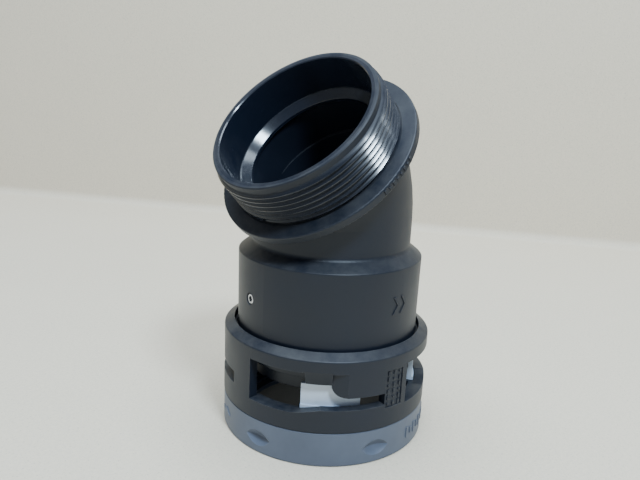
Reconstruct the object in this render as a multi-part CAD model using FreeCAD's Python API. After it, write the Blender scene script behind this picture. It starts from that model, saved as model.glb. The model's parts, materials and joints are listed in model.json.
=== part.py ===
"""Angled conduit fitting: a threaded elbow that swivels on a windowed cage, with four retaining jaws
driven by a quarter-turn lock ring.

Frame: origin at the centre of the lock ring's bottom face, +Z up along the conduit, and the elbow leans
towards +X. All lengths are millimetres and all angles are degrees.
"""

import FreeCAD, Part
import math
import os

Vec = FreeCAD.Vector
X_AXIS, Y_AXIS, Z_AXIS = Vec(1, 0, 0), Vec(0, 1, 0), Vec(0, 0, 1)
ORIGIN = Vec(0, 0, 0)

# ---- driving dimensions ----
# clearances
RUN_GAP = 0.15          # between faces that slide on each other on different bodies
SEAT_GAP = 0.05         # between a loose inner piece and its seat on the same body
SCREW_GAP = 0.02        # radial, between a grub screw and its hole
PIN_SLOT_GAP = 0.12     # radial, between a jaw pin and its cam slot
OVERCUT = 1.0           # how far a cutting tool runs past the face that it cuts

# passages
CONDUIT_R = 21.6        # entry bore for the conduit
PASSAGE_R = 19.1        # clear way through the spigot and the elbow

# lock ring
RING_STEP = 0.1         # the lock ring's radius below the cage's
RING_H = 9.2
RING_FLOOR = 1.4
RING_WALL = 1.9         # at the groove that the cage's bead runs in
RING_LIP = 0.6          # how far the lip stands in over the groove
RING_LIP_H = 2.3
NOTCH_COUNT_PER_SIDE = 2
NOTCH_SPREAD = 64.8     # between the two grip notches of one side
NOTCH_MIDDLE = 37.6     # direction halfway between the first two notches
NOTCH_DEPTH = 1.4
NOTCH_Z = 4.2
NOTCH_PLAN_R = 7.4      # radius of the notch's sharp inner edge, seen from above
NOTCH_EDGE_ANGLE = 66.0 # slope of the notch's two faces at that edge
TICK_H = 0.25           # how far moulded marks stand proud

# cam disc and jaw travel
CAM_T = 2.1
CAM_SLOT_TURN = 45.0    # the lock ring's travel
JAW_TRAVEL = 1.4
CAM_KEY_W = 5.0
CAM_KEY_H = 0.45        # radial height of the disc's four keys

# cage
CAGE_WALL = 2.6
RIM_WALL = 2.65
SILL_BAND = 4.85        # from the cage's foot to the window sill
WINDOW_H = 11.1
WEB_T = 1.9
RIM_DEPTH = 2.8         # rim top above the web
RIM_CHAMFER_H = 1.5
RIM_LAND = 0.15         # flat left at the top of the rim
RIM_GAP = 0.8           # between the collar and the rim
DECK_T = 2.9
DECK_DROP = 0.1         # deck top below the sill
DECK_STEP = 0.8         # the deck's edge below the jaws' outer radius
EAR_HALF_ANGLE = 19.5   # the deck reaches further in under each jaw
SKIRT_T = 1.2
SKIRT_DROP = 4.05       # skirt's end below the cage's foot
BEAD_H = 1.2
BEAD_PROUD = 0.5
SPIGOT_WALL = 3.1
SPIGOT_H = 19.0         # above the web

# windows, as angles from the middle of their jaw
WINDOW_COUNT = 4
FIRST_JAW = 45.0
WINDOW_LEFT = -46.3     # full-height part
WINDOW_STEP = -14.2     # where the wall above comes down
BLOCK_LEFT = 0.0        # where the thick press pad starts
WINDOW_RIGHT = 29.0
HOOD_DROP = 3.5         # the recessed hood's lower edge, below the window's top
PAD_DROP = 6.4          # the press pad's lower edge, below the window's top
PAD_CORNER = 3.0
SLIT_RISE = 1.4         # the sill's raised part under the pad
SILL_RAMP = (-21.0, -6.0)
HOOD_SCOOP = 1.9        # how deep the hood's scoop is cut
PAD_RAMP = 8.0          # the pad's sloping left side, in degrees
PANEL_SPAN = (30.2, 41.4)
PANEL_DEPTH = 0.3
PANEL_MARGIN = 0.5

# jaws
JAW_HALF_ANGLE = 17.5
JAW_STANDOFF = 1.0      # from the conduit to a jaw's inner face, jaws open
JAW_WALL_T = 1.2        # upper part, that passes outside the seal sleeve
JAW_HEADROOM = 1.2      # below the seal cup
JAW_RIB_IN = 0.85
JAW_RIB_H = 1.2
JAW_FLANGE_T = 1.0
JAW_FLANGE_OUT = 0.4
JAW_LEG_W = 11.0
JAW_LEG_T = 1.3
LEG_SETBACK = 0.85      # the leg's outside below the jaw's
JAW_FOOT_W = 8.0
JAW_FOOT_T = 1.35
PIN_R = 0.8
CAM_RIM = 0.73          # cam disc left outside the slot's outer end
PIN_EDGE = 1.25         # foot material beyond the pin's centre

# conduit seal and the sleeve that holds it
SEAL_LIP_R = 21.0
SLEEVE_T = 0.65
SLEEVE_GAP = 0.1        # radial, conduit to sleeve
SLEEVE_BOTTOM = 3.8     # above the sill
SEAL_CUP_STEP = 2.25    # radial, sleeve to cup
SEAL_CUP_T = 0.6
SEAL_CUP_H = 3.1        # from the cup's underside to the web
SLEEVE_FLANGE_T = 0.8
CORNER_EASE = 0.5       # clears the rounding in the corner that a ring sits in
LUG_H = 0.35
LUG_IN = 0.6
DUST_SEAL_H = 1.5
DUST_SEAL_T = 0.5

# collar and swivel
COLLAR_WALL = 2.65
COLLAR_DRAFT = 0.2      # how much slimmer the collar is at its foot
COLLAR_H = 21.8
SHOULDER_H = 2.6
SOCKET_GAP = 0.2        # radial, spigot to socket
SPIGOT_HEADROOM = 0.35
WASHER_T = 0.5
WASHER_RUN = 0.1
ORING_SECTION_R = 0.7
ORING_GROOVE_W = 1.9
ORING_SQUEEZE_GAP = 0.05
ORING_OFFSETS = (5.9, 16.0)   # above the web
PIN_GROOVE_OFFSET = 11.65     # above the web
PIN_GROOVE_W = 2.3
PIN_GROOVE_DEPTH = 1.2
GRUB_COUNT = 2
GRUB_FIRST = -13.5
GRUB_R = 1.5
GRUB_TIP_R = 0.9
GRUB_TIP_GAP = 0.3
GRUB_SUNK = 0.15
GRUB_SOCKET_AF = 1.5
GRUB_SOCKET_DEPTH = 1.5

# elbow
NECK_WALL = 2.6
NECK_RISE = 7.2
BEND_ANGLE = 45.0
BEND_R = 22.0
FLANGE_OUT = 4.0        # beyond the thread
FLANGE_T = 2.3
FLANGE_MARKS_FROM = 74.0    # round the tilted axis, from the side that faces down
FLANGE_MARKS_STEP = 3.1
FLANGE_GAP = 0.05       # straight neck between the bend and the flange
THREAD_LENGTH = 12.75
THREAD_R = 23.5
THREAD_PITCH = 1.5875
THREAD_DEPTH = 0.77
THREAD_FLANK = 40.0     # half of the thread angle
THREAD_ROOT_FLAT = 0.16
PILOT_LENGTH = 1.8      # plain band at the mouth
RELIEF_W = 0.45
FACE_GROOVE_OUT = 0.25  # beyond the thread, so that a wall lies flat on the flange
FACE_GROOVE_DEPTH = 0.3
MOUTH_CHAMFER = 0.25
MOUTH_WALL = 1.93       # under the thread
MOUTH_DRAFT = 0.5
MOUTH_DEPTH = 9.9
LEDGE_STEP = 0.25
LIP_R = 18.1            # inner edge of the ledge, which slopes at 45 degrees
LIP_LAND = 0.8

# ---- heights worked out from the above ----
cam_z0 = RING_FLOOR
cam_z1 = cam_z0 + CAM_T
foot_z0 = cam_z1 + RUN_GAP
foot_z1 = foot_z0 + JAW_FOOT_T
cage_z0 = RING_H + RUN_GAP
sill_z = cage_z0 + SILL_BAND
window_top = sill_z + WINDOW_H
web_top = window_top + WEB_T
rim_top = web_top + RIM_DEPTH
deck_top = sill_z - DECK_DROP
deck_z0 = deck_top - DECK_T
jaw_z0 = deck_top + RUN_GAP
sleeve_z0 = sill_z + SLEEVE_BOTTOM
grip_top = sleeve_z0 - 2 * RUN_GAP
seal_top = window_top - SEAT_GAP
cup_z0 = seal_top - SEAL_CUP_H
jaw_top = cup_z0 - JAW_HEADROOM
seal_z0 = cup_z0 + SEAL_CUP_T + SEAT_GAP
spigot_top = web_top + SPIGOT_H
socket_top = spigot_top + SPIGOT_HEADROOM
collar_z0 = web_top + WASHER_T + WASHER_RUN
collar_top = collar_z0 + COLLAR_H
neck_z0 = collar_top + SHOULDER_H
bend_z0 = neck_z0 + NECK_RISE
bend_tangent = BEND_R * math.tan(math.radians(BEND_ANGLE / 2))
bend_vertex = bend_z0 + bend_tangent
grub_z = web_top + PIN_GROOVE_OFFSET

# radii worked out from the above
neck_r = PASSAGE_R + NECK_WALL
thread_floor_r = THREAD_R - THREAD_DEPTH
mouth_r = thread_floor_r - MOUTH_WALL
flange_r = THREAD_R + FLANGE_OUT
spigot_r = PASSAGE_R + SPIGOT_WALL
socket_r = spigot_r + SOCKET_GAP
collar_r = socket_r + COLLAR_WALL
rim_inner_r = collar_r + RIM_GAP
sleeve_inner_r = CONDUIT_R + SLEEVE_GAP
sleeve_r = sleeve_inner_r + SLEEVE_T
seal_cup_r = sleeve_r + SEAL_CUP_STEP
jaw_inner_r = CONDUIT_R + JAW_STANDOFF
jaw_wall_r = sleeve_r + JAW_TRAVEL + RUN_GAP + 2 * SEAT_GAP
jaw_outer_r = jaw_wall_r + JAW_WALL_T
deck_inner_r = jaw_outer_r - DECK_STEP
cage_r = max(jaw_outer_r + JAW_FLANGE_OUT + 2 * RUN_GAP + CAGE_WALL, rim_inner_r + RIM_WALL)
cage_inner_r = cage_r - CAGE_WALL
ring_r = cage_r - RING_STEP
ring_groove_r = ring_r - RING_WALL
ring_lip_r = ring_groove_r - RING_LIP
skirt_r = ring_lip_r - RUN_GAP
skirt_inner_r = skirt_r - SKIRT_T
leg_outer_r = min(jaw_outer_r - LEG_SETBACK, skirt_inner_r - RUN_GAP - SEAT_GAP)
leg_inner_r = leg_outer_r - JAW_LEG_T
cam_outer_r = ring_groove_r - SEAT_GAP
pin_orbit = cam_outer_r - CAM_RIM - PIN_SLOT_GAP - PIN_R
oring_groove_r = socket_r - ORING_SQUEEZE_GAP - 2 * ORING_SECTION_R - SCREW_GAP
groove_floor_r = spigot_r - PIN_GROOVE_DEPTH
cam_rate = JAW_TRAVEL / CAM_SLOT_TURN

# distances along the tilted axis, from the bend's vertex
flange_s0 = bend_tangent + FLANGE_GAP
flange_s1 = flange_s0 + FLANGE_T
mouth_s = flange_s1 + THREAD_LENGTH


# ---- modelling helpers ----
def rounded_wire(points):
    """Closed wire in the XZ plane from (r, z) or (r, z, corner radius) points."""
    corners = [(Vec(p[0], 0, p[1]), p[2] if len(p) > 2 else 0.0) for p in points]
    stations = []
    for i, (corner, radius) in enumerate(corners):
        before = corners[i - 1][0] - corner
        after = corners[(i + 1) % len(corners)][0] - corner
        if radius <= 0:
            stations.append((corner, None, corner))
            continue
        half = before.getAngle(after) / 2
        back = min(radius / math.tan(half), 0.45 * before.Length, 0.45 * after.Length)
        radius = back * math.tan(half)
        before.normalize()
        after.normalize()
        middle = before + after
        middle.normalize()
        centre = corner + middle * (radius / math.sin(half))
        stations.append((corner + before * back, centre - middle * radius, corner + after * back))
    edges = []
    for i, (start, mid, end) in enumerate(stations):
        if mid is not None:
            edges.append(Part.Arc(start, mid, end).toShape())
        following = stations[(i + 1) % len(stations)][0]
        if (following - end).Length > 1e-6:
            edges.append(Part.LineSegment(end, following).toShape())
    return Part.Wire(edges)


def turned(points, angle=360.0):
    """Solid of revolution about Z from a closed (r, z) outline."""
    return Part.Face(rounded_wire(points)).revolve(ORIGIN, Z_AXIS, angle)


def tube(r0, r1, z0, z1):
    """Plain ring between two radii and two heights."""
    return turned([(r0, z0), (r1, z0), (r1, z1), (r0, z1)])


def sector(r0, r1, z0, z1, a0, a1):
    """Piece of a ring between two directions."""
    piece = turned([(r0, z0), (r1, z0), (r1, z1), (r0, z1)], a1 - a0)
    return turn(piece, a0)


def turn(shape, angle):
    """Copy turned about Z."""
    copy = shape.copy()
    copy.rotate(ORIGIN, Z_AXIS, angle)
    return copy


def tilt(shape):
    """Copy carried from the Z axis, measured from the bend's vertex, onto the tilted axis."""
    copy = shape.copy()
    copy.rotate(ORIGIN, Y_AXIS, BEND_ANGLE)
    copy.translate(Vec(0, 0, bend_vertex))
    return copy


def fuse(shapes):
    """One solid from several that touch or overlap."""
    result = shapes[0]
    for other in shapes[1:]:
        result = result.fuse(other)
    return result.removeSplitter()


def radial_prism(outline, r0, r1, angle):
    """Outline of (sideways, z) points in the plane facing a direction, pushed from r0 out to r1."""
    points = [Vec(r0, t, z) for t, z in outline]
    face = Part.Face(Part.makePolygon(points + points[:1]))
    return turn(face.extrude(Vec(r1 - r0, 0, 0)), angle)


def raised_mark(outline, wall_r, z0, z1, angle):
    """Outline standing TICK_H proud of a round wall, its root a little inside it."""
    skin = tube(wall_r - TICK_H, wall_r + TICK_H, z0, z1)
    return radial_prism(outline, wall_r * 0.8, wall_r + OVERCUT, angle).common(skin)


def chevron(size, thick):
    """Outline of one chevron, size high and pointing sideways."""
    half = size / 2
    return [(-thick, half), (0, half), (half * 0.7, 0), (0, -half), (-thick, -half), (half * 0.7 - thick, 0)]


def placed(outline, t, z):
    """Outline moved sideways and up."""
    return [(p + t, q + z) for p, q in outline]


def bar(width, height):
    """Outline of an upright rectangle about its centre."""
    half_w, half_h = width / 2, height / 2
    return [(-half_w, -half_h), (half_w, -half_h), (half_w, half_h), (-half_w, half_h)]


# ---- elbow ----
def bend(radius):
    """Round bar through the elbow's bend."""
    circle = Part.Wire(Part.makeCircle(radius, Vec(0, 0, bend_z0), Z_AXIS))
    return Part.Face(circle).revolve(Vec(BEND_R, 0, bend_z0), Y_AXIS, BEND_ANGLE)


def thread_tool():
    """Helical cutter for the thread's groove, in the tilted part's own frame."""
    start = mouth_s - PILOT_LENGTH + THREAD_PITCH
    end = flange_s1 + RELIEF_W + THREAD_PITCH / 2
    floor_r = thread_floor_r
    rise = SEAT_GAP
    half_root = THREAD_ROOT_FLAT / 2
    half_top = half_root + (THREAD_DEPTH + rise) * math.tan(math.radians(THREAD_FLANK))
    helix = Part.makeHelix(THREAD_PITCH, start - end, floor_r)
    section = [
        Vec(floor_r, 0, -half_root),
        Vec(floor_r + THREAD_DEPTH + rise, 0, -half_top),
        Vec(floor_r + THREAD_DEPTH + rise, 0, half_top),
        Vec(floor_r, 0, half_root),
    ]
    profile = Part.makePolygon(section + section[:1])
    tool = Part.Wire(helix.Edges).makePipeShell([profile], True, True)
    tool.translate(Vec(0, 0, end))
    return tool


def threaded_end():
    """Flange, thread and mouth, in the tilted part's own frame."""
    pilot_r = thread_floor_r - SCREW_GAP
    pilot_s = mouth_s - PILOT_LENGTH
    over_r = THREAD_R + OVERCUT
    relief_s = flange_s1 + RELIEF_W
    band = tube(PASSAGE_R - OVERCUT, THREAD_R, flange_s1 - SEAT_GAP, mouth_s).cut(thread_tool())
    pilot_trim = turned([
        (pilot_r, pilot_s),
        (pilot_r, mouth_s - MOUTH_CHAMFER),
        (pilot_r - MOUTH_CHAMFER, mouth_s),
        (pilot_r - MOUTH_CHAMFER, mouth_s + OVERCUT),
        (over_r, mouth_s + OVERCUT),
        (over_r, pilot_s - (over_r - pilot_r)),
    ])
    relief_trim = turned([
        (pilot_r, flange_s1 - SEAT_GAP),
        (over_r, flange_s1 - SEAT_GAP),
        (over_r, relief_s + (over_r - pilot_r) / 2),
        (pilot_r, relief_s),
    ])
    flange = turned([
        (PASSAGE_R - OVERCUT, bend_tangent - SEAT_GAP),
        (neck_r, bend_tangent - SEAT_GAP),
        (neck_r, flange_s0),
        (flange_r, flange_s0, 0.35),
        (flange_r, flange_s1, 0.35),
        (PASSAGE_R - OVERCUT, flange_s1),
    ])
    groove_r = THREAD_R + FACE_GROOVE_OUT
    groove = tube(pilot_r, groove_r, flange_s1 - FACE_GROOVE_DEPTH, flange_s1 + SEAT_GAP)
    return band.cut(pilot_trim).cut(relief_trim).fuse(flange).cut(groove)


def flange_marks():
    """Short ticks on the flange's edge, in the tilted part's own frame."""
    z = (flange_s0 + flange_s1) / 2
    marks = []
    for i, height in enumerate((1.3, 0.7, 1.3, 0.7, 0.7, 1.3, 0.7, 1.3)):
        angle = FLANGE_MARKS_FROM + FLANGE_MARKS_STEP * i
        marks.append(raised_mark(placed(bar(0.6, height), 0, z), flange_r, flange_s0, flange_s1, angle))
    return marks


def mouth_bore():
    """Tapered mouth and the ledge below it, in the tilted part's own frame."""
    ledge_s = mouth_s - MOUTH_DEPTH
    foot_r = mouth_r - MOUTH_DRAFT
    ledge_r = foot_r - LEDGE_STEP
    lip_s = ledge_s - (ledge_r - LIP_R)
    lead = MOUTH_CHAMFER
    return turned([
        (0, 0),
        (PASSAGE_R, 0),
        (PASSAGE_R, lip_s - LIP_LAND - (PASSAGE_R - LIP_R)),
        (LIP_R, lip_s - LIP_LAND),
        (LIP_R, lip_s, 0.2),
        (ledge_r, ledge_s),
        (foot_r, ledge_s),
        (mouth_r, mouth_s - lead),
        (mouth_r + lead, mouth_s),
        (mouth_r + lead, mouth_s + OVERCUT),
        (0, mouth_s + OVERCUT),
    ])


def collar():
    """Collar, shoulder and straight neck, solid."""
    foot_r = collar_r - COLLAR_DRAFT
    return turned([
        (0, collar_z0),
        (foot_r, collar_z0, 0.4),
        (collar_r, collar_top, 0.5),
        (neck_r, neck_z0, 1.2),
        (neck_r, bend_z0),
        (0, bend_z0),
    ])


def swivel_socket():
    """Room for the spigot, and the passage above it."""
    lead = 0.6
    return turned([
        (0, collar_z0 - OVERCUT),
        (socket_r + lead, collar_z0 - OVERCUT),
        (socket_r + lead, collar_z0),
        (socket_r, collar_z0 + lead),
        (socket_r, socket_top, 0.5),
        (PASSAGE_R, socket_top + SEAT_GAP, 0.3),
        (PASSAGE_R, bend_z0),
        (0, bend_z0),
    ])


def grub_directions():
    return [GRUB_FIRST + i * 360.0 / GRUB_COUNT for i in range(GRUB_COUNT)]


def collar_marks():
    """Two chevrons on the collar, pointing along the way that it swivels."""
    marks = []
    for t in (-2.0, 0.9):
        outline = placed(chevron(4.6, 1.1), t, grub_z + 1.4)
        marks.append(raised_mark(outline, collar_r - COLLAR_DRAFT / 2, collar_z0, collar_top, 88.5))
    return marks


def elbow_body():
    marks = [tilt(mark) for mark in flange_marks()] + collar_marks()
    outer = fuse([collar(), bend(neck_r), tilt(threaded_end())] + marks)
    hollow = fuse([swivel_socket(), bend(PASSAGE_R), tilt(mouth_bore())])
    body = outer.cut(hollow)
    for angle in grub_directions():
        hole = Part.makeCylinder(GRUB_R + SCREW_GAP, collar_r, Vec(PASSAGE_R, 0, grub_z), X_AXIS)
        countersink = Part.makeCone(GRUB_R, GRUB_R + 0.9, 0.9, Vec(collar_r - 0.35, 0, grub_z), X_AXIS)
        body = body.cut(turn(hole.fuse(countersink), angle))
    return body


def grub_screw(angle):
    """Socket set screw with a dog point, standing in the spigot's groove."""
    head_r = collar_r - COLLAR_DRAFT - GRUB_SUNK
    neck = spigot_r + SOCKET_GAP
    tip = groove_floor_r + GRUB_TIP_GAP
    shank = Part.makeCylinder(GRUB_R, head_r - neck - 0.3, Vec(neck, 0, grub_z), X_AXIS)
    crown = Part.makeCone(GRUB_R, GRUB_R - 0.3, 0.3, Vec(head_r - 0.3, 0, grub_z), X_AXIS)
    point = Part.makeCylinder(GRUB_TIP_R, neck - tip, Vec(tip, 0, grub_z), X_AXIS)
    corner_r = GRUB_SOCKET_AF / math.sqrt(3)
    hexagon = []
    for corner in range(7):
        around = math.radians(60 * corner)
        side, up = corner_r * math.cos(around), corner_r * math.sin(around)
        hexagon.append(Vec(head_r - GRUB_SOCKET_DEPTH, side, grub_z + up))
    socket = Part.Face(Part.makePolygon(hexagon)).extrude(Vec(GRUB_SOCKET_DEPTH + OVERCUT, 0, 0))
    return turn(fuse([shank, crown, point]).cut(socket), angle)


# ---- cage ----
def jaw_directions():
    return [FIRST_JAW + i * 360.0 / WINDOW_COUNT for i in range(WINDOW_COUNT)]


def cage_shell():
    """Outer wall, deck, skirt, web and spigot as one turned body."""
    skirt_z0 = cage_z0 - SKIRT_DROP
    bead_z0 = skirt_z0 + 0.1
    return turned([
        (PASSAGE_R, window_top, 0.3),
        (cage_inner_r, window_top, 0.4),
        (cage_inner_r, deck_top),
        (deck_inner_r, deck_top, 0.3),
        (deck_inner_r, deck_z0 + SEAT_GAP),
        (skirt_inner_r, deck_z0),
        (skirt_inner_r, skirt_z0),
        (skirt_r, skirt_z0),
        (skirt_r + BEAD_PROUD, bead_z0 + BEAD_H * 0.4),
        (skirt_r + BEAD_PROUD, bead_z0 + BEAD_H * 0.7),
        (skirt_r, bead_z0 + BEAD_H),
        (skirt_r, cage_z0),
        (cage_r, cage_z0, 0.25),
        (cage_r, rim_top - RIM_CHAMFER_H, 0.5),
        (rim_inner_r + RIM_LAND, rim_top),
        (rim_inner_r, rim_top),
        (rim_inner_r, web_top, 0.2),
        (spigot_r, web_top, 0.2),
        (spigot_r, spigot_top, 0.5),
        (PASSAGE_R, spigot_top, 0.3),
    ])


def spigot_grooves():
    """The groove for the grub screws' points and the two for the swivel seals."""
    over_r = spigot_r + OVERCUT
    tools = [tube(groove_floor_r, over_r, grub_z - PIN_GROOVE_W / 2, grub_z + PIN_GROOVE_W / 2)]
    for offset in ORING_OFFSETS:
        z = web_top + offset
        tools.append(tube(oring_groove_r, over_r, z - ORING_GROOVE_W / 2, z + ORING_GROOVE_W / 2))
    return tools


def window_tool():
    """Everything that one window takes out of the wall, about direction 0."""
    r0, r1 = cage_inner_r - SEAT_GAP, cage_r + OVERCUT
    hood_z = window_top - HOOD_DROP
    pad_z = window_top - PAD_DROP
    slit_z = sill_z + SLIT_RISE
    ramp_left, ramp_right = SILL_RAMP
    tall = sector(r0, r1, sill_z, window_top, WINDOW_LEFT, WINDOW_STEP)
    low = sector(r0, r1, slit_z, hood_z, WINDOW_STEP - 0.5, BLOCK_LEFT)
    slit = sector(r0, r1, slit_z, pad_z, BLOCK_LEFT - 0.5, WINDOW_RIGHT)
    low_left = sector(r0, r1, sill_z, slit_z + 0.5, WINDOW_STEP - 0.5, ramp_right)
    tools = fuse([tall, low, slit, low_left])
    middle = (ramp_left + ramp_right) / 2
    reach = cage_r * math.tan(math.radians((ramp_right - ramp_left) / 2))
    ramp = radial_prism(
        [(-reach, sill_z - OVERCUT), (reach * 1.4, sill_z - OVERCUT), (reach * 1.4, slit_z), (reach, slit_z),
         (-reach * 0.2, sill_z + SLIT_RISE * 0.35), (-reach, sill_z)],
        r0 - OVERCUT, r1, middle)
    corner = Part.makeCylinder(PAD_CORNER, r1, Vec(0, 0, 0), X_AXIS)
    pad_edge = math.degrees(PAD_CORNER / cage_r)
    corner.translate(Vec(0, 0, pad_z + PAD_CORNER))
    wedge = sector(r0, r1, pad_z - 0.2, pad_z + PAD_CORNER, BLOCK_LEFT - 0.3, BLOCK_LEFT + pad_edge)
    rounding = wedge.cut(turn(corner, BLOCK_LEFT + pad_edge))
    return tools.cut(ramp).fuse(rounding)


def hood_scoop():
    """Sloping recess over the low part of a window, with the press pad's sloping side."""
    hood_z = window_top - HOOD_DROP
    cone = turned([
        (cage_r + SEAT_GAP, window_top + 0.5),
        (cage_r - HOOD_SCOOP, hood_z - OVERCUT),
        (cage_r + OVERCUT, hood_z - OVERCUT),
        (cage_r + OVERCUT, window_top + 0.5),
    ], BLOCK_LEFT - WINDOW_STEP + 1.0)
    cone = turn(cone, WINDOW_STEP - 1.0)
    width = cage_r * math.radians(PAD_RAMP)
    side = Part.makePolygon([
        Vec(cage_r - HOOD_SCOOP * 0.8, -SEAT_GAP, 0),
        Vec(cage_r + OVERCUT, -SEAT_GAP, 0),
        Vec(cage_r + OVERCUT, width, 0),
        Vec(cage_r - 0.3, width, 0),
        Vec(cage_r - HOOD_SCOOP * 0.8, -SEAT_GAP, 0),
    ])
    ramp = Part.Face(side).extrude(Vec(0, 0, PAD_DROP + 0.5))
    ramp.translate(Vec(0, 0, window_top - PAD_DROP - 0.5))
    return cone.fuse(turn(ramp, BLOCK_LEFT))


def deck_ear():
    """Deck under one jaw, reaching further in than the rest, about direction 0."""
    half = EAR_HALF_ANGLE
    return sector(jaw_inner_r, deck_inner_r + 0.5, deck_z0 + SEAT_GAP, deck_top, -half, half)


def jaw_slot():
    """Way through the deck for a jaw's leg, about direction 0."""
    half = JAW_LEG_W / 2 + RUN_GAP
    reach = leg_outer_r + RUN_GAP
    return Part.makeBox(
        reach - CONDUIT_R + OVERCUT, 2 * half, deck_top - deck_z0 + 2 * OVERCUT,
        Vec(CONDUIT_R - OVERCUT, -half, deck_z0 - OVERCUT))


def retainer_lug():
    """Snap lug under the seal sleeve's flange, on a pillar."""
    z1 = seal_top - SLEEVE_FLANGE_T - SEAT_GAP
    a0 = WINDOW_RIGHT + 4.0
    return sector(cage_inner_r - LUG_IN, cage_inner_r + SEAT_GAP, z1 - LUG_H, z1, a0, a0 + 6.0)


def code_panel():
    """Sunken panel on one pillar, and the raised dots and bars inside it."""
    a0, a1 = PANEL_SPAN
    z0, z1 = sill_z + PANEL_MARGIN, window_top - PANEL_MARGIN
    floor_r = cage_r - PANEL_DEPTH
    recess = sector(floor_r, cage_r + OVERCUT, z0, z1, FIRST_JAW + a0 - 1.2, FIRST_JAW + a1 - 1.2)
    marks = []
    rows = 6
    for row in range(rows):
        z = z0 + (row + 0.5) * (z1 - z0) / rows
        for column in range(3):
            angle = FIRST_JAW + a0 - 1.2 + (column + 0.5) * (a1 - a0) / 3
            tall = (row + 2 * column) % 3 != 0
            outline = placed(bar(0.55, 1.15 if tall else 0.55), 0, z)
            marks.append(raised_mark(outline, floor_r, z0, z1, angle))
    return recess, marks


def cage_body():
    body = cage_shell()
    for tool in spigot_grooves():
        body = body.cut(tool)
    window, scoop, ear, slot, lug = window_tool(), hood_scoop(), deck_ear(), jaw_slot(), retainer_lug()
    for angle in jaw_directions():
        body = body.cut(turn(window, angle))
        body = body.cut(turn(scoop, angle))
        body = body.fuse(turn(ear, angle))
        body = body.fuse(turn(lug, angle))
        body = body.cut(turn(slot, angle))
    recess, marks = code_panel()
    body = body.cut(recess)
    for mark in marks:
        body = body.fuse(mark)
    return body.removeSplitter()


# ---- lock ring and cam ----
def grip_notch():
    """Lens-shaped cutter with its sharp edge turned inwards, about direction 0."""
    ball_r = NOTCH_PLAN_R / math.sin(math.radians(NOTCH_EDGE_ANGLE))
    lift = ball_r * math.cos(math.radians(NOTCH_EDGE_ANGLE))
    away = ring_r - NOTCH_DEPTH + NOTCH_PLAN_R
    upper = Part.makeSphere(ball_r, Vec(away, 0, NOTCH_Z + lift))
    lower = Part.makeSphere(ball_r, Vec(away, 0, NOTCH_Z - lift))
    return upper.common(lower)


def ring_marks():
    """Ticks and an arrow between the pairs of notches, on both sides."""
    marks = []
    for side in (90.0, 270.0):
        centre = NOTCH_MIDDLE + side
        for i in range(9):
            height = 3.0 if i % 2 == 0 else 1.8
            tick = placed(bar(0.7, height), 0, RING_H / 2)
            marks.append(raised_mark(tick, ring_r, 0.5, RING_H - 0.5, centre - 34.0 + 4.0 * i))
        arrow = [(-3.2, -0.5), (0.4, -0.5), (0.4, -1.6), (3.2, 0), (0.4, 1.6), (0.4, 0.5), (-3.2, 0.5)]
        marks.append(raised_mark(placed(arrow, 0, RING_H / 2), ring_r, 0.5, RING_H - 0.5, centre + 25.0))
    return marks


def key_directions():
    return [NOTCH_MIDDLE + i * 90.0 for i in range(4)]


def lock_ring():
    body = turned([
        (CONDUIT_R, 0),
        (ring_r, 0, 0.5),
        (ring_r, RING_H, 0.2),
        (ring_lip_r, RING_H),
        (ring_lip_r, RING_H - RING_LIP_H),
        (ring_groove_r, RING_H - RING_LIP_H - 0.4),
        (ring_groove_r, RING_FLOOR),
        (CONDUIT_R, RING_FLOOR),
    ])
    for side in (0.0, 180.0):
        for i in range(NOTCH_COUNT_PER_SIDE):
            body = body.cut(turn(grip_notch(), NOTCH_MIDDLE + side + (i - 0.5) * NOTCH_SPREAD))
    for angle in key_directions():
        keyway = Part.makeBox(
            CAM_KEY_H + SEAT_GAP + OVERCUT, CAM_KEY_W + 2 * SEAT_GAP, CAM_T + 2 * SEAT_GAP,
            Vec(ring_groove_r - OVERCUT, -CAM_KEY_W / 2 - SEAT_GAP, cam_z0))
        body = body.cut(turn(keyway, angle))
    for mark in ring_marks():
        body = body.fuse(mark)
    return body.removeSplitter()


def cam_slot():
    """Spiral slot that carries a jaw pin inwards as the ring turns, about direction 0."""
    half = PIN_R + PIN_SLOT_GAP
    steps = 12
    outer, inner = [], []
    for i in range(steps + 1):
        turned_by = -CAM_SLOT_TURN * i / steps
        orbit = pin_orbit + cam_rate * turned_by
        direction = Vec(math.cos(math.radians(turned_by)), math.sin(math.radians(turned_by)), 0)
        outer.append(direction * (orbit + half))
        inner.append(direction * (orbit - half))
    edges = []
    for points in (outer, inner):
        curve = Part.BSplineCurve()
        curve.interpolate(points)
        edges.append(curve.toShape())
    first_cap = Part.Arc(outer[0], Vec(pin_orbit, half, 0), inner[0]).toShape()
    end_angle = math.radians(-CAM_SLOT_TURN)
    end_centre = (outer[-1] + inner[-1]) * 0.5
    end_mid = end_centre + Vec(math.sin(end_angle), -math.cos(end_angle), 0) * half
    last_cap = Part.Arc(outer[-1], end_mid, inner[-1]).toShape()
    wire = Part.Wire(Part.__sortEdges__([edges[0], last_cap, edges[1], first_cap]))
    tool = Part.Face(wire).extrude(Vec(0, 0, CAM_T + 2 * OVERCUT))
    tool.translate(Vec(0, 0, cam_z0 - OVERCUT))
    return tool


def cam_disc():
    body = tube(CONDUIT_R, cam_outer_r, cam_z0, cam_z1)
    for angle in key_directions():
        corner = Vec(cam_outer_r - OVERCUT, -CAM_KEY_W / 2, cam_z0)
        key = Part.makeBox(CAM_KEY_H + OVERCUT, CAM_KEY_W, CAM_T, corner)
        body = body.fuse(turn(key, angle))
    for angle in jaw_directions():
        body = body.cut(turn(cam_slot(), angle))
    return body.removeSplitter()


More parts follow.
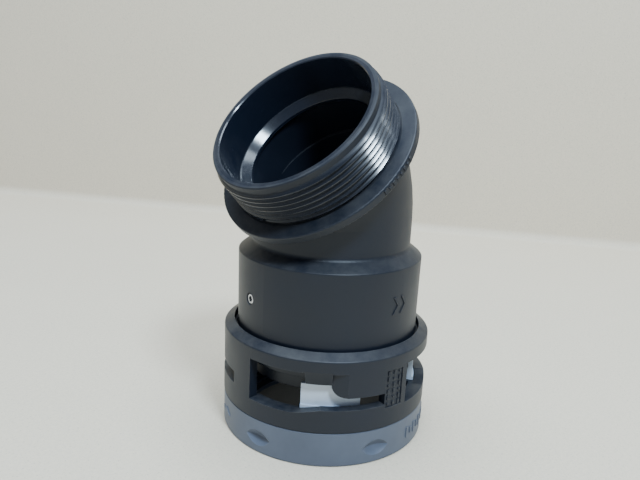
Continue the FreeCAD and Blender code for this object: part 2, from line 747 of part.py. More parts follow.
# ---- jaws ----
def jaw(angle):
    """One jaw: a wall in the window, gripping ribs below the seal sleeve, and a leg down to its cam foot."""
    half = JAW_HALF_ANGLE
    flange_top = jaw_z0 + JAW_FLANGE_T
    wall = sector(jaw_wall_r, jaw_outer_r, jaw_z0, jaw_top, -half, half)
    grip = sector(jaw_inner_r, jaw_outer_r, jaw_z0, grip_top, -half, half)
    flange = sector(jaw_inner_r, jaw_outer_r + JAW_FLANGE_OUT, jaw_z0, flange_top, -half, half)
    rib = turned([
        (jaw_inner_r + SEAT_GAP, grip_top - JAW_RIB_H),
        (jaw_inner_r - JAW_RIB_IN, grip_top - JAW_RIB_H * 0.75, 0.15),
        (jaw_inner_r - JAW_RIB_IN, grip_top, 0.15),
        (jaw_inner_r + SEAT_GAP, grip_top),
    ], 2 * half)
    leg_box = Part.makeBox(leg_outer_r, JAW_LEG_W, flange_top - foot_z0, Vec(0, -JAW_LEG_W / 2, foot_z0))
    leg = leg_box.common(tube(leg_inner_r, leg_outer_r, foot_z0, flange_top))
    foot_reach = pin_orbit + PIN_EDGE
    foot_box = Part.makeBox(foot_reach, JAW_FOOT_W, JAW_FOOT_T, Vec(0, -JAW_FOOT_W / 2, foot_z0))
    foot = foot_box.common(tube(leg_inner_r, foot_reach, foot_z0, foot_z1))
    body = fuse([wall, grip, flange, turn(rib, -half), leg, foot])
    hole = Part.makeCylinder(PIN_R, JAW_FOOT_T + 2 * OVERCUT, Vec(pin_orbit, 0, foot_z0 - OVERCUT))
    return turn(body.cut(hole), angle)


def jaw_pin(angle):
    """Steel dowel pressed into a jaw's foot and standing in the cam slot."""
    z0 = cam_z0 + RUN_GAP
    return turn(Part.makeCylinder(PIN_R, foot_z1 - z0, Vec(pin_orbit, 0, z0)), angle)


# ---- seals and washers ----
def conduit_seal():
    """Two-lipped seal that grips the conduit's end."""
    outer_r = seal_cup_r - SEAL_CUP_T - SEAT_GAP
    root_r = SEAL_LIP_R + 1.4
    return turned([
        (outer_r, seal_z0, 0.2),
        (outer_r, seal_top, 0.2),
        (root_r, seal_top),
        (SEAL_LIP_R, seal_top - 0.75, 0.1),
        (SEAL_LIP_R + 0.2, seal_top - 1.0),
        (root_r, seal_top - 0.8, 0.15),
        (root_r, seal_top - 1.5, 0.15),
        (SEAL_LIP_R, seal_z0 + 0.45, 0.1),
        (SEAL_LIP_R + 0.2, seal_z0 + 0.15),
        (root_r, seal_z0),
    ])


def seal_sleeve():
    """Thin sleeve that guides the conduit, with the seal's cup and a flange at its top."""
    cup_inner_r = seal_cup_r - SEAL_CUP_T
    flange_r = cage_inner_r - SEAT_GAP
    return turned([
        (sleeve_inner_r + 0.25, sleeve_z0),
        (sleeve_r, sleeve_z0, 0.15),
        (sleeve_r, cup_z0, 0.2),
        (seal_cup_r, cup_z0, 0.3),
        (seal_cup_r, seal_top - SLEEVE_FLANGE_T, 0.2),
        (flange_r, seal_top - SLEEVE_FLANGE_T, 0.15),
        (flange_r, seal_top, CORNER_EASE),
        (cup_inner_r, seal_top),
        (cup_inner_r, cup_z0 + SEAL_CUP_T),
        (sleeve_inner_r, cup_z0 + SEAL_CUP_T, 0.1),
        (sleeve_inner_r, sleeve_z0 + 0.4),
    ])


def swivel_oring(offset):
    centre_r = oring_groove_r + SCREW_GAP + ORING_SECTION_R
    return Part.makeTorus(centre_r, ORING_SECTION_R, Vec(0, 0, web_top + offset), Z_AXIS)


def thrust_washer():
    return tube(spigot_r + 0.35, collar_r - 0.35, web_top, web_top + WASHER_T)


def dust_seal():
    """Wiper in the gap between the rim and the collar."""
    outer_r = rim_inner_r - SEAT_GAP
    root_r = outer_r - DUST_SEAL_T
    lip_r = collar_r + RUN_GAP / 2
    z0 = web_top + SEAT_GAP
    z1 = z0 + DUST_SEAL_H
    return turned([
        (root_r, z0),
        (outer_r, z0, CORNER_EASE),
        (outer_r, z1 - 0.5, 0.15),
        (lip_r, z1, 0.08),
        (lip_r, z1 - 0.3),
        (root_r, z1 - 0.9),
    ])


# ---- output ----
def all_parts():
    parts = {
        "elbow_body": elbow_body(),
        "cage_body": cage_body(),
        "lock_ring": lock_ring(),
        "cam_disc": cam_disc(),
        "conduit_seal": conduit_seal(),
        "seal_sleeve": seal_sleeve(),
        "swivel_oring_lower": swivel_oring(ORING_OFFSETS[0]),
        "swivel_oring_upper": swivel_oring(ORING_OFFSETS[1]),
        "thrust_washer": thrust_washer(),
        "dust_seal": dust_seal(),
    }
    for i, angle in enumerate(grub_directions(), 1):
        parts[f"grub_screw_{i}"] = grub_screw(angle)
    for i, angle in enumerate(jaw_directions(), 1):
        parts[f"jaw_{i}"] = jaw(angle)
        parts[f"jaw_pin_{i}"] = jaw_pin(angle)
    return parts


def main():
    os.makedirs("parts", exist_ok=True)
    for name, shape in all_parts().items():
        print(f"{name:20s} solids {len(shape.Solids)}  valid {shape.isValid()}  {shape.Volume:.2f} mm3")
        shape.exportStep(f"parts/{name}.step")


main()
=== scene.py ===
"""Looks of an angled conduit fitting: finishes for its moulded, rubber and steel parts, and a
stage.

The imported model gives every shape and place. All lengths are metres.
"""

import json
import math

import bpy
import bmesh
from bpy.props import FloatProperty, FloatVectorProperty, PointerProperty
from mathutils import Matrix, Quaternion, Vector


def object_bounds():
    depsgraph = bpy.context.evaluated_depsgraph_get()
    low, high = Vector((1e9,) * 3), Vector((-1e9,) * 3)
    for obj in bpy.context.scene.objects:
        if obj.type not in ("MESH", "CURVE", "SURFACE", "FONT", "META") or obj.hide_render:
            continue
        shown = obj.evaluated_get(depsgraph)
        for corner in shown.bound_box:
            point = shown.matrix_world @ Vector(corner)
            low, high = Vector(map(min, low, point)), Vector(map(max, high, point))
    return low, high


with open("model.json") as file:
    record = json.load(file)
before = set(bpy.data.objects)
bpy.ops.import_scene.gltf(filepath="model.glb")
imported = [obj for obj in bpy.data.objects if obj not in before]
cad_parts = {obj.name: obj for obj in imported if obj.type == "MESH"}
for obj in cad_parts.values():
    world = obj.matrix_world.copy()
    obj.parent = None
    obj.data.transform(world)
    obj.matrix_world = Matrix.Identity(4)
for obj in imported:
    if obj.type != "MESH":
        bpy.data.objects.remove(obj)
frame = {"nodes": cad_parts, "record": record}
CAD_LOW, CAD_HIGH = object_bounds()

bl_info = {
    "name": "Angled conduit fitting",
    "version": (1, 0, 0),
    "blender": (4, 5, 0),
    "location": "3D View > Sidebar > Fitting",
    "description": "Finishes and stage for a swivelling threaded elbow with a jaw lock",
    "category": "Object",
}

# Geometry of the finishes and the stage
FACE_MARGIN = 0.0001         # from the flange's face to where the polish starts
POLISH_BLEND = 0.0002        # over which the polish fades in
PAINTED_SHADE_LIFT = 0.00005    # lift above the floor of the dark disc that is painted shade
FLOOR_RADIUS = 3.0
ROUND_STEPS = 96             # sides of the floor's circles
FOLD_STEPS = 10              # steps of the turn from floor to wall

# Moulded polyamide
EDGE_WIDTH = 0.00028         # width of a rubbed edge
BEVEL_SAMPLES = 4
GLOSS_SPREAD = 0.1           # slow drift of the roughness
SPECK_ROUGHNESS = 0.12       # added where the surface is specked
WEAR_GLOSS = 0.1             # taken off the roughness where edges are rubbed
WEAR_PALENESS = 0.30
DULL_ROOTS = 0.4             # roughness added in the thread's roots
COAT_AMOUNT = 0.6
COAT_ROUGHNESS = 0.12
POLISH_FLATNESS = 0.9        # share of the grain that the polish takes away
GRAIN_BUMP = 0.25
GRAIN_DEPTH = 0.2            # grain's depth as a share of its size
RING_DUST = 0.3              # lock ring's dust as a share of the body's
DUST_COLOUR = (0.42, 0.40, 0.36)
PALE_GREY = 0.45             # what worn colours move towards
POLYAMIDE_IOR = 1.53
POLYAMIDE_SPECULAR = 0.36

# Acetal and rubber
ACETAL_IOR = 1.48
ACETAL_SCATTER = 0.12
ACETAL_SCATTER_RADIUS = (0.0012, 0.0011, 0.001)
RUBBER_GRAIN = 0.00025
RUBBER_BLOOM = 0.06

# Floor paper
PAPER_BUMP = 0.35
PAPER_DEPTH = 0.0002
PAPER_ROUGHNESS = 0.78

# Lights: turn from the camera's azimuth, elevation, distance, size, watts, tint
WINDOW_LIGHT = (25, 52, 0.9, (0.16, 0.16), 9.5, (0.66, 0.83, 1.0))
SKY_LIGHT = (-60, 84, 0.9, (0.7, 0.7), 15.0, (0.72, 0.86, 1.0))

SENSOR_WIDTH = 36.0
CAMERA_NEAR = 0.005


def colour(name, description, default):
    """A colour that a user can change."""
    return FloatVectorProperty(
        name=name, description=description, subtype="COLOR", size=3, min=0, max=1, default=default)


def length(name, description, default):
    """A length that a user can change."""
    return FloatProperty(
        name=name, description=description, unit="LENGTH", precision=5, default=default)


def share(name, description, default):
    """A value between nothing and all."""
    return FloatProperty(
        name=name, description=description, subtype="FACTOR", min=0, max=1, default=default)


def number(name, description, default):
    """A plain number that a user can change."""
    return FloatProperty(name=name, description=description, default=default)


# ---- settings ----
class FittingFinish(bpy.types.PropertyGroup):
    """Colours and surface values of the fitting's materials."""

    black: colour("Black polyamide", "Colour of the moulded body", (0.0070, 0.0105, 0.0190))
    black_rough: share("Black roughness", "Roughness of the moulded body", 0.46)
    gloss_rough: share("Thread roughness", "Roughness of the polished thread and mouth", 0.16)
    grey: colour("Grey polyamide", "Colour of the lock ring", (0.092, 0.110, 0.150))
    grey_rough: share("Grey roughness", "Roughness of the lock ring", 0.42)
    white: colour("White acetal", "Colour of the jaws", (0.60, 0.68, 0.79))
    rubber: colour("Rubber", "Colour of the seals", (0.012, 0.012, 0.013))
    steel: colour("Steel", "Colour of the screws and pins", (0.62, 0.63, 0.66))
    grain: length("Grain size", "Size of the moulded surface's fine grain", 0.00035)
    wear: share("Edge wear", "How far rubbed edges turn lighter", 0.35)
    dust: share("Dust", "How much pale dust lies on faces that look up", 0.12)


class FittingStage(bpy.types.PropertyGroup):
    """Floor, lights and camera."""

    floor: colour("Floor", "Colour of the plain floor", (0.69, 0.60, 0.465))
    # painted shade: brightness of the dark disc that stands for the shaded floor inside the conduit
    # entry
    inside: share("Floor inside", "How bright the floor is inside the conduit entry", 0.10)
    sky: colour("Sky", "Colour of the light from all round", (0.74, 0.84, 1.0))
    sky_strength: number("Sky strength", "Strength of the light from all round", 0.30)
    wall_gap: length("Wall gap", "Target to the wall behind", 0.2566)
    wall_turn: number(
        "Wall turn", "How far the wall is turned from facing the camera, in degrees", 11.2)
    wall_height: length("Wall height", "Height of the wall", 0.24)
    wall_width: length("Wall width", "Width of the wall", 4.0)
    wall_fold: length("Wall fold", "Radius where the floor turns up into the wall", 0.006)
    target: FloatVectorProperty(
        name="Target", description="Point that the camera looks at", subtype="TRANSLATION",
        size=3, default=(0.00192, -0.00220, 0.05183))
    azimuth: number("Azimuth", "Camera's direction, in degrees", 131.12)
    elevation: number("Elevation", "Camera's height above the horizon, in degrees", 13.96)
    roll: number("Roll", "Camera's roll, in degrees", 2.75)
    distance: length("Distance", "Camera to target", 0.17834)
    lens: number("Lens", "Focal length in millimetres", 36.46)


# ---- node helpers ----
def link(tree, source, target):
    """Joins an output to an input."""
    tree.links.new(source, target)


def feed(tree, value, target):
    """Joins a socket to an input, or sets the input to a number."""
    if isinstance(value, (int, float)):
        target.default_value = value
    else:
        link(tree, value, target)


def places(tree):
    """The surface's place on its own object."""
    return tree.nodes.new("ShaderNodeTexCoord").outputs["Object"]


def vector_maths(tree, operation, first, second=None, output="Vector"):
    """Vector Math node fed by sockets."""
    made = tree.nodes.new("ShaderNodeVectorMath")
    made.operation = operation
    link(tree, first, made.inputs[0])
    if second:
        link(tree, second, made.inputs[1])
    return made.outputs[output]


def group(name, inputs, outputs):
    """Empty shader group with its sockets, from lists of (name, kind, default) and (name, kind)."""
    tree = bpy.data.node_groups.new(name, "ShaderNodeTree")
    for label, kind, default in inputs:
        socket = tree.interface.new_socket(label, in_out="INPUT", socket_type=kind)
        if default is not None:
            socket.default_value = default
    for label, kind in outputs:
        tree.interface.new_socket(label, in_out="OUTPUT", socket_type=kind)
    return tree, tree.nodes.new("NodeGroupInput"), tree.nodes.new("NodeGroupOutput")


def maths(tree, operation, first, second, clamp=False):
    """Math node fed by sockets or numbers."""
    made = tree.nodes.new("ShaderNodeMath")
    made.operation = operation
    made.use_clamp = clamp
    feed(tree, first, made.inputs[0])
    feed(tree, second, made.inputs[1])
    return made.outputs[0]


def noise(tree, vector, scale, detail, roughness):
    """Noise value at that many waves per metre."""
    made = tree.nodes.new("ShaderNodeTexNoise")
    made.inputs["Detail"].default_value = detail
    made.inputs["Roughness"].default_value = roughness
    feed(tree, scale, made.inputs["Scale"])
    link(tree, vector, made.inputs["Vector"])
    return made.outputs["Fac"]


def ramp(tree, value, low, high):
    """Value mapped from low..high to 0..1, clamped."""
    made = tree.nodes.new("ShaderNodeMapRange")
    made.clamp = True
    made.inputs["From Min"].default_value = low
    made.inputs["From Max"].default_value = high
    link(tree, value, made.inputs["Value"])
    return made.outputs["Result"]


def bumped(tree, height, strength, distance, shader):
    """Relief on a shader's normal."""
    relief = tree.nodes.new("ShaderNodeBump")
    relief.inputs["Strength"].default_value = strength
    relief.inputs["Distance"].default_value = distance
    link(tree, height, relief.inputs["Height"])
    link(tree, relief.outputs["Normal"], shader.inputs["Normal"])


# ---- shared effects ----
def moulded_grain():
    """Fine grain of a spark-eroded mould, with slow drifts in gloss: height and gloss masks."""
    tree, given, made = group(
        "Moulded grain",
        [("Grain size", "NodeSocketFloat", 0.0004)],
        [("Height", "NodeSocketFloat"), ("Drift", "NodeSocketFloat"), ("Speck", "NodeSocketFloat")])
    place = places(tree)
    fine_scale = maths(tree, "DIVIDE", 1.0, given.outputs["Grain size"])
    fine = noise(tree, place, fine_scale, detail=2.0, roughness=0.55)
    medium_scale = maths(tree, "MULTIPLY", fine_scale, 0.37)
    medium = noise(tree, place, medium_scale, detail=3.0, roughness=0.6)
    fine_share = maths(tree, "MULTIPLY", fine, 0.65)
    medium_share = maths(tree, "MULTIPLY", medium, 0.35)
    link(tree, maths(tree, "ADD", fine_share, medium_share), made.inputs["Height"])
    slow = noise(tree, place, 60.0, detail=4.0, roughness=0.6)
    link(tree, ramp(tree, slow, low=0.3, high=0.7), made.inputs["Drift"])
    specks = noise(tree, place, 900.0, detail=2.0, roughness=0.7)
    link(tree, ramp(tree, specks, low=0.69, high=0.75), made.inputs["Speck"])
    return tree


def edge_wear():
    """Mask of rubbed edges, broken up by noise."""
    tree, given, made = group(
        "Edge wear",
        [("Width", "NodeSocketFloat", 0.0003)],
        [("Mask", "NodeSocketFloat")])
    place = places(tree)
    bevel = tree.nodes.new("ShaderNodeBevel")
    bevel.samples = BEVEL_SAMPLES
    link(tree, given.outputs["Width"], bevel.inputs["Radius"])
    geometry = tree.nodes.new("ShaderNodeNewGeometry")
    dot = vector_maths(
        tree, "DOT_PRODUCT", bevel.outputs["Normal"], geometry.outputs["Normal"], "Value")
    turn = maths(tree, "SUBTRACT", 1.0, dot)
    breaks = noise(tree, place, 420.0, detail=4.0, roughness=0.65)
    broken = ramp(tree, breaks, low=0.38, high=0.62)
    mask = maths(tree, "MULTIPLY", ramp(tree, turn, low=0.02, high=0.2), broken, clamp=True)
    link(tree, mask, made.inputs["Mask"])
    return tree


def settled_dust():
    """Mask of thin dust on faces that look up."""
    tree, given, made = group(
        "Settled dust",
        [("Amount", "NodeSocketFloat", 0.1)],
        [("Mask", "NodeSocketFloat")])
    place = places(tree)
    geometry = tree.nodes.new("ShaderNodeNewGeometry")
    parts = tree.nodes.new("ShaderNodeSeparateXYZ")
    link(tree, geometry.outputs["Normal"], parts.inputs[0])
    up = ramp(tree, parts.outputs["Z"], low=0.15, high=0.95)
    clouds = noise(tree, place, 140.0, detail=5.0, roughness=0.7)
    lying = maths(tree, "MULTIPLY", up, ramp(tree, clouds, low=0.35, high=0.75))
    mask = maths(tree, "MULTIPLY", lying, given.outputs["Amount"], clamp=True)
    link(tree, mask, made.inputs["Mask"])
    return tree


def polished_end():
    """Masks of all that lies beyond a plane across an axis, and of the dull thread roots there."""
    tree, given, made = group(
        "Polished end",
        [("Axis", "NodeSocketVector", None), ("Centre", "NodeSocketVector", None),
         ("Start", "NodeSocketFloat", 0.0), ("Root", "NodeSocketFloat", 0.0)],
        [("Mask", "NodeSocketFloat"), ("Dull", "NodeSocketFloat")])
    place = places(tree)
    axis = given.outputs["Axis"]
    along = vector_maths(tree, "DOT_PRODUCT", place, axis, "Value")
    past = maths(tree, "SUBTRACT", along, given.outputs["Start"])
    polished = ramp(tree, past, low=0.0, high=POLISH_BLEND)
    link(tree, polished, made.inputs["Mask"])
    offset = vector_maths(tree, "SUBTRACT", place, given.outputs["Centre"])
    across = vector_maths(tree, "CROSS_PRODUCT", offset, axis)
    radius = vector_maths(tree, "LENGTH", across, output="Value")
    above = maths(tree, "SUBTRACT", radius, given.outputs["Root"])
    outside = ramp(tree, above, low=-0.0010, high=-0.0006)
    crest = ramp(tree, above, low=0.0001, high=0.0006)
    dull = maths(tree, "MULTIPLY", outside, maths(tree, "SUBTRACT", 1.0, crest))
    link(tree, maths(tree, "MULTIPLY", dull, polished), made.inputs["Dull"])
    return tree


def shared(name, maker):
    """The group of that name, made on first use."""
    return bpy.data.node_groups.get(name) or maker()


def placed_group(tree, name, maker, **values):
    """Group node in a material, with its inputs set."""
    made = tree.nodes.new("ShaderNodeGroup")
    made.node_tree = shared(name, maker)
    for label, value in values.items():
        made.inputs[label.replace("_", " ")].default_value = value
    return made


# ---- materials ----
def blank_material(name):
    """New material, its tree and its Principled shader."""
    material = bpy.data.materials.new(name)
    material.use_nodes = True
    tree = material.node_tree
    return material, tree, tree.nodes["Principled BSDF"]


def mixed(tree, mask, first, second):
    """Colour that goes from the first to the second under a mask."""
    made = tree.nodes.new("ShaderNodeMix")
    made.data_type = "RGBA"
    link(tree, mask, made.inputs["Factor"])
    for socket, value in (("A", first), ("B", second)):
        target = [s for s in made.inputs if s.name == socket and s.type == "RGBA"][0]
        if isinstance(value, bpy.types.NodeSocket):
            link(tree, value, target)
        else:
            target.default_value = (*value, 1.0)
    return [s for s in made.outputs if s.type == "RGBA"][0]


def lighter(base, amount):
    """Colour moved towards pale grey."""
    return tuple(c + (PALE_GREY - c) * amount for c in base)


def scaled(base, factor):
    """Colour made brighter or darker, and held below full white."""
    return tuple(min(1.0, c * factor) for c in base)


def polyamide(name, base, rough, grain, wear, dust, polished=None):
    """Moulded polyamide: fine grain, slow gloss drift, rubbed edges and a little dust.

    polished is (axis, centre, start, root radius, roughness) of a threaded end that was
    polished in the mould.
    """
    material, tree, shader = blank_material(name)
    surface = placed_group(tree, "Moulded grain", moulded_grain, Grain_size=grain)
    edges = placed_group(tree, "Edge wear", edge_wear, Width=EDGE_WIDTH)
    dusty = placed_group(tree, "Settled dust", settled_dust, Amount=dust)
    tone = mixed(tree, surface.outputs["Drift"], scaled(base, 0.86), scaled(base, 1.14))
    rubbed = maths(tree, "MULTIPLY", edges.outputs["Mask"], wear, clamp=True)
    tone = mixed(tree, rubbed, tone, lighter(base, WEAR_PALENESS))
    tone = mixed(tree, dusty.outputs["Mask"], tone, DUST_COLOUR)
    link(tree, tone, shader.inputs["Base Color"])
    drift = maths(tree, "MULTIPLY", surface.outputs["Drift"], GLOSS_SPREAD)
    speck = maths(tree, "MULTIPLY", surface.outputs["Speck"], SPECK_ROUGHNESS)
    total = maths(tree, "ADD", maths(tree, "ADD", drift, speck), rough - GLOSS_SPREAD / 2)
    worn = maths(tree, "MULTIPLY", rubbed, WEAR_GLOSS)
    gloss = maths(tree, "SUBTRACT", total, worn, clamp=True)
    height = surface.outputs["Height"]
    if polished:
        axis, centre, start, root, smooth = polished
        masks = placed_group(
            tree, "Polished end", polished_end, Axis=axis, Centre=centre, Start=start, Root=root)
        end, dull = masks.outputs["Mask"], masks.outputs["Dull"]
        smoothed = maths(tree, "MULTIPLY", end, rough - smooth)
        gloss = maths(tree, "SUBTRACT", gloss, smoothed, clamp=True)
        gloss = maths(tree, "ADD", gloss, maths(tree, "MULTIPLY", dull, DULL_ROOTS), clamp=True)
        bare = maths(tree, "SUBTRACT", end, dull, clamp=True)
        link(tree, maths(tree, "MULTIPLY", bare, COAT_AMOUNT), shader.inputs["Coat Weight"])
        shader.inputs["Coat Roughness"].default_value = COAT_ROUGHNESS
        kept = maths(tree, "SUBTRACT", 1.0, maths(tree, "MULTIPLY", end, POLISH_FLATNESS))
        height = maths(tree, "MULTIPLY", height, kept)
    link(tree, gloss, shader.inputs["Roughness"])
    bumped(tree, height, GRAIN_BUMP, grain * GRAIN_DEPTH, shader)
    shader.inputs["IOR"].default_value = POLYAMIDE_IOR
    shader.inputs["Specular IOR Level"].default_value = POLYAMIDE_SPECULAR
    return material


def acetal(name, base):
    """Smooth white acetal with faint flow marks."""
    material, tree, shader = blank_material(name)
    place = places(tree)
    marks = noise(tree, place, 220.0, detail=4.0, roughness=0.6)
    flow = ramp(tree, marks, low=0.3, high=0.7)
    tone = mixed(tree, flow, scaled(base, 0.94), base)
    link(tree, tone, shader.inputs["Base Color"])
    gloss = maths(tree, "ADD", maths(tree, "MULTIPLY", flow, 0.1), 0.3)
    link(tree, gloss, shader.inputs["Roughness"])
    shader.inputs["Subsurface Weight"].default_value = ACETAL_SCATTER
    shader.inputs["Subsurface Radius"].default_value = ACETAL_SCATTER_RADIUS
    shader.inputs["IOR"].default_value = ACETAL_IOR
    return material


def rubber(name, base):
    """Matt elastomer with a pale bloom."""
    material, tree, shader = blank_material(name)
    surface = placed_group(tree, "Moulded grain", moulded_grain, Grain_size=RUBBER_GRAIN)
    drift = surface.outputs["Drift"]
    tone = mixed(tree, drift, base, lighter(base, RUBBER_BLOOM))
    link(tree, tone, shader.inputs["Base Color"])
    gloss = maths(tree, "ADD", maths(tree, "MULTIPLY", drift, 0.12), 0.62)
    link(tree, gloss, shader.inputs["Roughness"])
    return material


def steel(name, base):
    """Turned stainless steel with fine scratches."""
    material, tree, shader = blank_material(name)
    place = places(tree)
    scratch = noise(tree, place, 2600.0, detail=2.0, roughness=0.7)
    tone = mixed(tree, ramp(tree, scratch, low=0.35, high=0.65), scaled(base, 0.8), base)
    link(tree, tone, shader.inputs["Base Color"])
    gloss = maths(tree, "ADD", maths(tree, "MULTIPLY", scratch, 0.2), 0.18)
    link(tree, gloss, shader.inputs["Roughness"])
    shader.inputs["Metallic"].default_value = 1.0
    return material


def kraft(name, base):
    """Plain pale paper with faint blotches, fibres and darker flecks."""
    material, tree, shader = blank_material(name)
    place = places(tree)
    blotches = noise(tree, place, 14.0, detail=5.0, roughness=0.6)
    fibre = noise(tree, place, 900.0, detail=4.0, roughness=0.75)
    flecks = noise(tree, place, 1700.0, detail=2.0, roughness=0.6)
    tone = mixed(tree, ramp(tree, blotches, low=0.3, high=0.7), scaled(base, 0.95), base)
    tone = mixed(tree, ramp(tree, fibre, low=0.3, high=0.75), tone, scaled(base, 1.12))
    tone = mixed(tree, ramp(tree, flecks, low=0.60, high=0.70), tone, scaled(base, 0.80))
    link(tree, tone, shader.inputs["Base Color"])
    bumped(tree, fibre, PAPER_BUMP, PAPER_DEPTH, shader)
    shader.inputs["Roughness"].default_value = PAPER_ROUGHNESS
    return material


def finish_nodes(names, material):
    """Gives CAD nodes one material over all their slots."""
    for name in names:
        target = frame["nodes"][name]
        if not target.data.materials:
            target.data.materials.append(material)
        for i in range(len(target.data.materials)):
            target.data.materials[i] = material


def nodes_of(prefix):
    """Names of the CAD nodes that start with a prefix."""
    return sorted(name for name in frame["nodes"] if name.startswith(prefix))


def mount(name):
    """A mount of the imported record."""
    return [made for made in frame["record"]["mounts"] if made["name"] == name][0]


# ---- pieces ----
class FITTING_OT_elbow(bpy.types.Operator):
    """Finish the swivelling elbow"""

    bl_idname = "fitting.elbow"
    bl_label = "Elbow"

    def execute(self, context):
        look = context.scene.fitting_finish
        face, pilot = mount("flange_face"), mount("mouth_pilot")
        axis = Vector(face["axis"])
        start = axis.dot(Vector(face["pos_m"])) + FACE_MARGIN
        root = pilot["dims"]["r_mm"] / 1000
        finish_nodes(["elbow_body"], polyamide(
            "elbow_polyamide", look.black, look.black_rough, look.grain, look.wear, look.dust,
            polished=(axis, Vector(pilot["pos_m"]), start, root, look.gloss_rough)))
        return {"FINISHED"}


class FITTING_OT_cage(bpy.types.Operator):
    """Finish the windowed cage and the sleeve inside it"""

    bl_idname = "fitting.cage"
    bl_label = "Cage"

    def execute(self, context):
        look = context.scene.fitting_finish
        finish_nodes(["cage_body", "seal_sleeve"], polyamide(
            "cage_polyamide", look.black, look.black_rough, look.grain, look.wear, look.dust))
        return {"FINISHED"}


class FITTING_OT_lock_ring(bpy.types.Operator):
    """Finish the grey lock ring and its cam disc"""

    bl_idname = "fitting.lock_ring"
    bl_label = "Lock ring"

    def execute(self, context):
        look = context.scene.fitting_finish
        finish_nodes(["lock_ring"], polyamide(
            "ring_polyamide", look.grey, look.grey_rough, look.grain, look.wear,
            look.dust * RING_DUST))
        finish_nodes(["cam_disc"], polyamide(
            "cam_polyamide", look.black, look.black_rough, look.grain, 0.0, 0.0))
        return {"FINISHED"}


class FITTING_OT_jaws(bpy.types.Operator):
    """Finish the white jaws and their steel pins"""

    bl_idname = "fitting.jaws"
    bl_label = "Jaws"

    def execute(self, context):
        look = context.scene.fitting_finish
        pins = nodes_of("jaw_pin_")
        jaws = [name for name in nodes_of("jaw_") if name not in pins]
        finish_nodes(jaws, acetal("jaw_acetal", look.white))
        finish_nodes(pins, steel("pin_steel", look.steel))
        return {"FINISHED"}


class FITTING_OT_seals(bpy.types.Operator):
    """Finish the seals and the thrust washer"""

    bl_idname = "fitting.seals"
    bl_label = "Seals"

    def execute(self, context):
        look = context.scene.fitting_finish
        seals = ["conduit_seal", "dust_seal"] + nodes_of("swivel_oring")
        finish_nodes(seals, rubber("seal_rubber", look.rubber))
        finish_nodes(["thrust_washer"], acetal("washer_acetal", look.white))
        return {"FINISHED"}


class FITTING_OT_screws(bpy.types.Operator):
    """Finish the swivel's grub screws"""

    bl_idname = "fitting.screws"
    bl_label = "Grub screws"

    def execute(self, context):
        look = context.scene.fitting_finish
        finish_nodes(nodes_of("grub_screw_"), steel("screw_steel", look.steel))
        return {"FINISHED"}


# ---- stage ----
def soft_light(name, target, azimuth, lamp_values):
    """Area light aimed at the target, its azimuth counted from the one given."""
    turn, elevation, distance, size, power, tint = lamp_values
    data = bpy.data.lights.new(name, "AREA")
    data.shape = "RECTANGLE"
    data.size, data.size_y = size
    data.energy = power
    data.color = tint
    lamp = bpy.data.objects.new(name, data)
    bpy.context.scene.collection.objects.link(lamp)
    away = direction(azimuth + turn, elevation)
    lamp.location = target + away * distance
    lamp.rotation_mode = "QUATERNION"
    lamp.rotation_quaternion = (-away).to_track_quat("-Z", "Y")


def direction(azimuth, elevation):
    """Unit vector towards an azimuth and elevation in degrees, azimuth 0 being -Y and 90 +X."""
    a, e = math.radians(azimuth), math.radians(elevation)
    return Vector((math.sin(a) * math.cos(e), -math.cos(a) * math.cos(e), math.sin(e)))


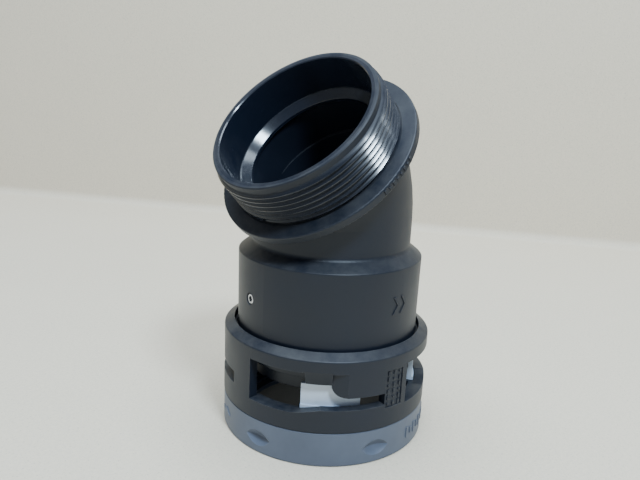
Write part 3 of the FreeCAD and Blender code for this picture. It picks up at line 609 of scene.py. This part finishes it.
class FITTING_OT_stage(bpy.types.Operator):
    """Make the floor, the lights and the camera"""

    bl_idname = "fitting.stage"
    bl_label = "Stage"

    def execute(self, context):
        look = context.scene.fitting_stage
        paper = kraft("stage_kraft", look.floor)
        self.make_floor(paper)
        self.make_wall(look, paper)
        self.make_painted_shade_disc(look)
        self.make_lights(context, look)
        self.make_camera(context, look)
        return {"FINISHED"}

    def make_floor(self, paper):
        """Wide disc under the fitting."""
        shape = bmesh.new()
        bmesh.ops.create_circle(shape, cap_ends=True, segments=ROUND_STEPS, radius=FLOOR_RADIUS)
        self.stage_piece("floor", shape, paper)

    def make_wall(self, look, paper):
        """Wall behind the fitting, with a small fold at its foot."""
        shape = bmesh.new()
        fold, half = look.wall_fold, look.wall_width / 2
        ends = [shape.verts.new((x, -fold, 0.0)) for x in (-half, half)]
        foot = shape.edges.new(ends)
        turned = bmesh.ops.spin(
            shape, geom=[foot], cent=(0.0, -fold, fold), axis=(1.0, 0.0, 0.0),
            angle=math.pi / 2, steps=FOLD_STEPS)
        last = [e for e in turned["geom_last"] if isinstance(e, bmesh.types.BMEdge)]
        risen = bmesh.ops.extrude_edge_only(shape, edges=last)
        tops = [v for v in risen["geom"] if isinstance(v, bmesh.types.BMVert)]
        bmesh.ops.translate(shape, verts=tops, vec=(0.0, 0.0, look.wall_height))
        facing = look.azimuth - look.wall_turn
        turn = Matrix.Rotation(math.radians(facing), 3, "Z")
        bmesh.ops.rotate(shape, verts=shape.verts, matrix=turn)
        place = Vector(look.target) + direction(facing + 180.0, 0.0) * look.wall_gap
        bmesh.ops.translate(shape, verts=shape.verts, vec=(place.x, place.y, 0.0))
        for face in shape.faces:
            face.smooth = True
        self.stage_piece("wall", shape, paper)

    def make_painted_shade_disc(self, look):
        """Dark disc under the conduit entry: painted shade for the floor that the fitting shades.
        """
        shape = bmesh.new()
        entry = mount("conduit_entry")["dims"]["r_mm"] / 1000
        bmesh.ops.create_circle(shape, cap_ends=True, segments=ROUND_STEPS, radius=entry)
        bmesh.ops.translate(shape, verts=shape.verts, vec=(0.0, 0.0, PAINTED_SHADE_LIFT))
        paper = kraft("painted_shade_kraft", scaled(look.floor, look.inside))
        self.stage_piece("painted_shade_disc", shape, paper)

    def stage_piece(self, name, shape, paper):
        """Makes a bmesh an object of the stage."""
        mesh = bpy.data.meshes.new(name)
        shape.to_mesh(mesh)
        shape.free()
        piece = bpy.data.objects.new(name, mesh)
        bpy.context.scene.collection.objects.link(piece)
        mesh.materials.append(paper)

    def make_lights(self, context, look):
        """Even light from all round and two soft lamps."""
        world = bpy.data.worlds.new("sky")
        world.use_nodes = True
        back = world.node_tree.nodes["Background"]
        back.inputs["Color"].default_value = (*look.sky, 1.0)
        back.inputs["Strength"].default_value = look.sky_strength
        context.scene.world = world
        centre = (CAD_LOW + CAD_HIGH) / 2
        soft_light("window_light", centre, look.azimuth, WINDOW_LIGHT)
        soft_light("sky_light", centre, look.azimuth, SKY_LIGHT)

    def make_camera(self, context, look):
        """Camera turned and rolled about the target."""
        data = bpy.data.cameras.new("camera")
        data.lens = look.lens
        data.sensor_width = SENSOR_WIDTH
        data.clip_start = CAMERA_NEAR
        camera = bpy.data.objects.new("camera", data)
        context.scene.collection.objects.link(camera)
        away = direction(look.azimuth, look.elevation)
        camera.location = Vector(look.target) + away * look.distance
        camera.rotation_mode = "QUATERNION"
        aim = (-away).to_track_quat("-Z", "Y")
        camera.rotation_quaternion = aim @ Quaternion((0, 0, 1), math.radians(look.roll))
        context.scene.camera = camera


PIECES = (
    FITTING_OT_elbow, FITTING_OT_cage, FITTING_OT_lock_ring, FITTING_OT_jaws, FITTING_OT_seals,
    FITTING_OT_screws, FITTING_OT_stage,
)


class FITTING_PT_panel(bpy.types.Panel):
    """Lists the pieces and their settings"""

    bl_idname = "FITTING_PT_panel"
    bl_label = "Angled conduit fitting"
    bl_space_type = "VIEW_3D"
    bl_region_type = "UI"
    bl_category = "Fitting"

    def draw(self, context):
        column = self.layout.column()
        for piece in PIECES:
            column.operator(piece.bl_idname)
        for settings in (context.scene.fitting_finish, context.scene.fitting_stage):
            for name in settings.bl_rna.properties.keys():
                if name not in ("rna_type", "name"):
                    column.prop(settings, name)


CLASSES = (FittingFinish, FittingStage) + PIECES + (FITTING_PT_panel,)


def register():
    for made in CLASSES:
        bpy.utils.register_class(made)
    bpy.types.Scene.fitting_finish = PointerProperty(type=FittingFinish)
    bpy.types.Scene.fitting_stage = PointerProperty(type=FittingStage)


def unregister():
    del bpy.types.Scene.fitting_stage
    del bpy.types.Scene.fitting_finish
    for made in reversed(CLASSES):
        bpy.utils.unregister_class(made)


def main():
    register()
    for piece in PIECES:
        family, name = piece.bl_idname.split(".")
        getattr(getattr(bpy.ops, family), name)()


if __name__ == "__main__":
    main()
